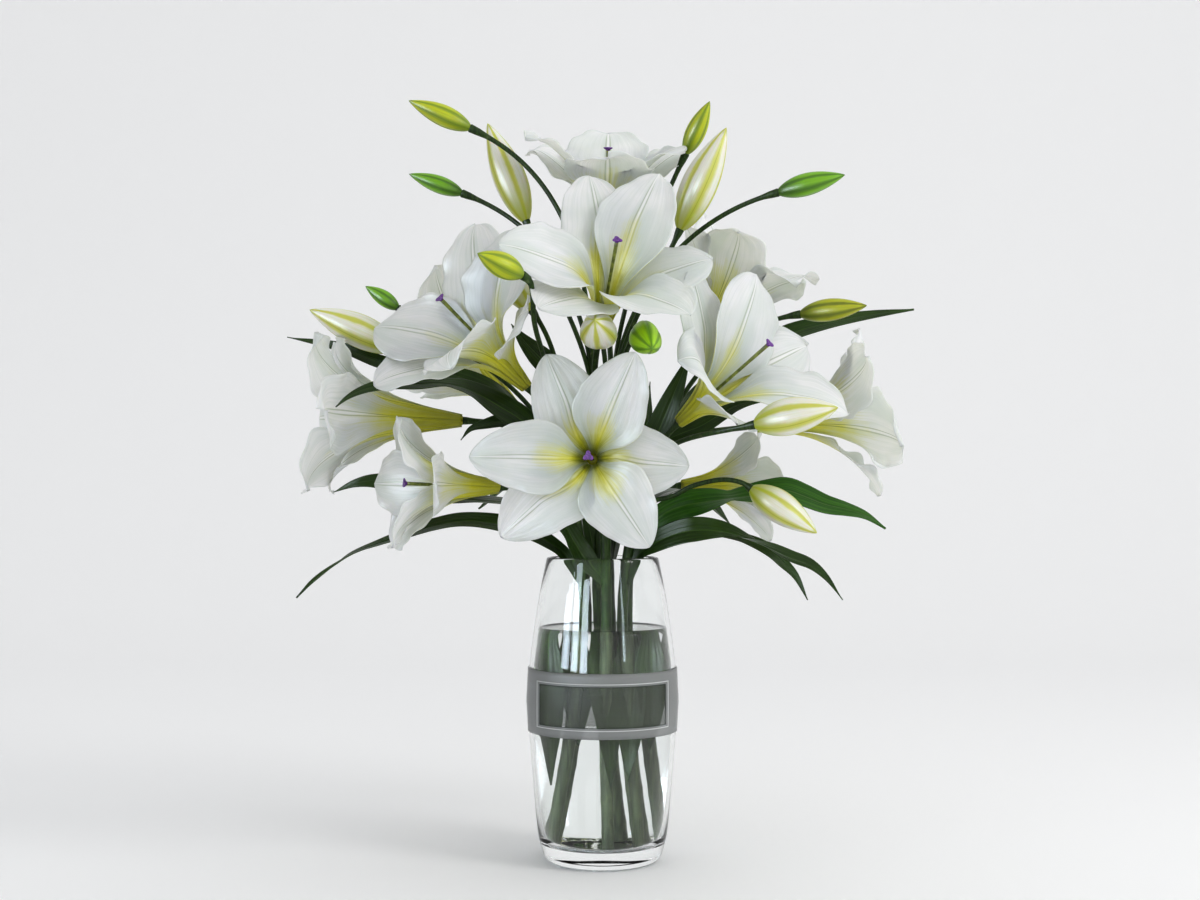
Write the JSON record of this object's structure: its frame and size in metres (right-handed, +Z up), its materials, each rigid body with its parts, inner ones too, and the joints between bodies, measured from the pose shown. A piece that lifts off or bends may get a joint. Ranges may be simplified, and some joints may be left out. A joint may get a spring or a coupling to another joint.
{
  "type": "lilies in a glass vase",
  "caption": "Cut white lilies with trumpet-shaped blooms, pointed buds and long dark leaves, standing in water in a clear barrel-shaped glass vase with a frosted band.",
  "frame": {"origin": "on the surface that the vase stands on, under the middle of the vase's foot", "axes": "+Z up along the vase's axis; -Y is the front, which the picture shows; +X to the viewer's right"},
  "size_m": [0.54, 0.3296, 0.632],
  "materials": {
    "glass": "clear, smooth, thick blown glass",
    "frosted": "satin, see-through grey, with a plain thin double frame at the front",
    "water": "clear still water",
    "leaf": "smooth waxy dark green with fine lengthwise veins",
    "petal": "soft white, matt, with fine lengthwise veins and a yellow-green throat",
    "style": "smooth yellow-green",
    "stigma": "velvety purple",
    "green_bud": "smooth waxy yellow-green with darker ribs",
    "white_bud": "soft cream white with yellow-green ribs"
  },
  "bodies": {
    "root": {"vase": "glass", "band": "frosted", "water": "water", "stem_crown": "leaf", "stem_front": "leaf", "stem_left_back": "leaf", "stem_left_front": "leaf", "stem_right_back": "leaf", "stem_right_front": "leaf", "stem_top": "leaf", "bloom_crown": "petal", "bloom_front": "petal", "bloom_left_back": "petal", "bloom_left_high": "petal", "bloom_left_low": "petal", "bloom_left_out": "petal", "bloom_right_back": "petal", "bloom_right_high": "petal", "bloom_right_low": "petal", "bloom_right_out": "petal", "bloom_top": "petal", "style_crown": "style", "style_front": "style", "style_left_back": "style", "style_left_high": "style", "style_left_low": "style", "style_left_out": "style", "style_right_back": "style", "style_right_high": "style", "style_right_low": "style", "style_right_out": "style", "style_top": "style", "stigma_crown": "stigma", "stigma_front": "stigma", "stigma_left_back": "stigma", "stigma_left_high": "stigma", "stigma_left_low": "stigma", "stigma_left_out": "stigma", "stigma_right_back": "stigma", "stigma_right_high": "stigma", "stigma_right_low": "stigma", "stigma_right_out": "stigma", "stigma_top": "stigma", "bud_green_far": "green_bud", "bud_green_front": "green_bud", "bud_green_left": "green_bud", "bud_green_right": "green_bud", "bud_lime_left": "green_bud", "bud_lime_mid": "green_bud", "bud_olive_far": "green_bud", "bud_pale_lower": "white_bud", "bud_pale_upper": "white_bud", "bud_small_back": "green_bud", "bud_white_front": "white_bud", "bud_white_left": "white_bud", "bud_white_mid": "white_bud", "bud_white_out": "white_bud", "bud_white_right": "white_bud"}
  },
  "joints": []
}
